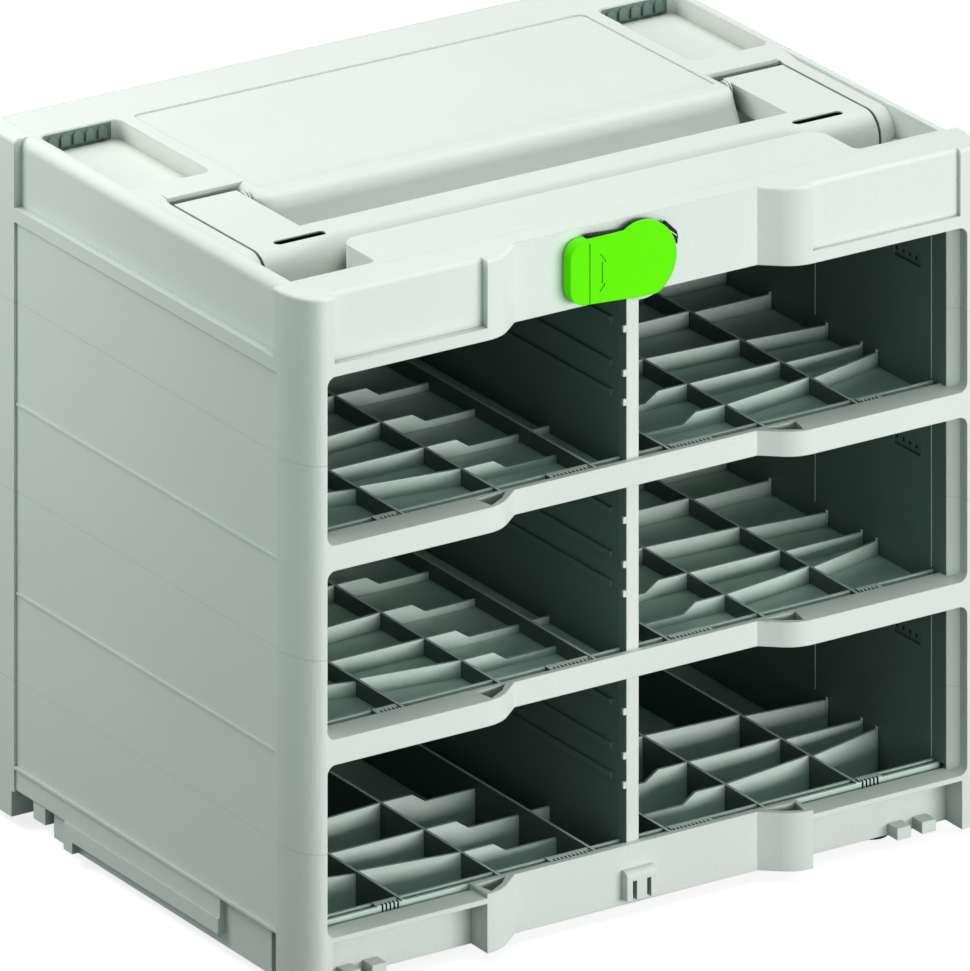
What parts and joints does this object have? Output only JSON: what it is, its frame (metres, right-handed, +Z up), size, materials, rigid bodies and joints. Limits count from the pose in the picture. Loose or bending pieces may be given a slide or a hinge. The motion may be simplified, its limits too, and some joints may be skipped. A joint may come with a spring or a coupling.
{
  "type": "tool case rack",
  "caption": "Open-fronted plastic rack case with cells for small parts cases, ribbed floors, a folding carry handle and a turning front latch.",
  "frame": {"origin": "middle of the case in plan, on the surface that the feet stand on", "axes": "+X to the right seen from the open front, +Y to the back, +Z up"},
  "size_m": [0.396, 0.296, 0.3372],
  "materials": {
    "shell_grey": "light grey moulded plastic with a fine grain",
    "deck_grey": "light grey moulded plastic, smoother than the walls",
    "handle_grey": "light grey moulded plastic, smooth",
    "post_grey": "light grey moulded plastic",
    "grid_grey": "mid grey moulded plastic, matt",
    "liner_dark": "dark anthracite plastic, matt",
    "latch_green": "bright lime green plastic, satin",
    "latch_dark": "dark plastic, satin",
    "pin_steel": "plain bright steel",
    "foot_rubber": "dark rubber, matt"
  },
  "bodies": {
    "case": {"base_section": "shell_grey", "lower_section": "shell_grey", "upper_section": "shell_grey", "top_section": "shell_grey", "top_deck": "deck_grey", "ceiling_panel": "liner_dark", "back_panel": "liner_dark", "side_liner_1_left": "liner_dark", "floor_grid_1_left": "grid_grey", "side_liner_1_right": "liner_dark", "floor_grid_1_right": "grid_grey", "divider_panel_1": "liner_dark", "divider_post_1": "post_grey", "side_liner_2_left": "liner_dark", "floor_grid_2_left": "grid_grey", "side_liner_2_right": "liner_dark", "floor_grid_2_right": "grid_grey", "divider_panel_2": "liner_dark", "divider_post_2": "post_grey", "side_liner_3_left": "liner_dark", "floor_grid_3_left": "grid_grey", "side_liner_3_right": "liner_dark", "floor_grid_3_right": "grid_grey", "divider_panel_3": "liner_dark", "divider_post_3": "post_grey", "handle_pin_left": "pin_steel", "side_rail_left": "shell_grey", "foot_front_left": "foot_rubber", "foot_rear_left": "foot_rubber", "handle_pin_right": "pin_steel", "side_rail_right": "shell_grey", "foot_front_right": "foot_rubber", "foot_rear_right": "foot_rubber", "latch_bush": "latch_dark", "latch_spindle": "pin_steel", "base_catch": "shell_grey"},
    "handle": {"carry_handle": "handle_grey"},
    "latch": {"latch_knob": "latch_green", "latch_backing": "latch_dark"}
  },
  "joints": [
    {"name": "handle_hinge", "type": "hinge", "parent": "case", "child": "handle", "pos_m": [0, -0.0035, 0.3285], "axis": [-1, 0, 0], "range_deg": [0, 90]},
    {"name": "latch_turn", "type": "hinge", "parent": "case", "child": "latch", "pos_m": [0, -0.139, 0.3173], "axis": [0, -1, 0], "range_deg": [-90, 90]}
  ]
}
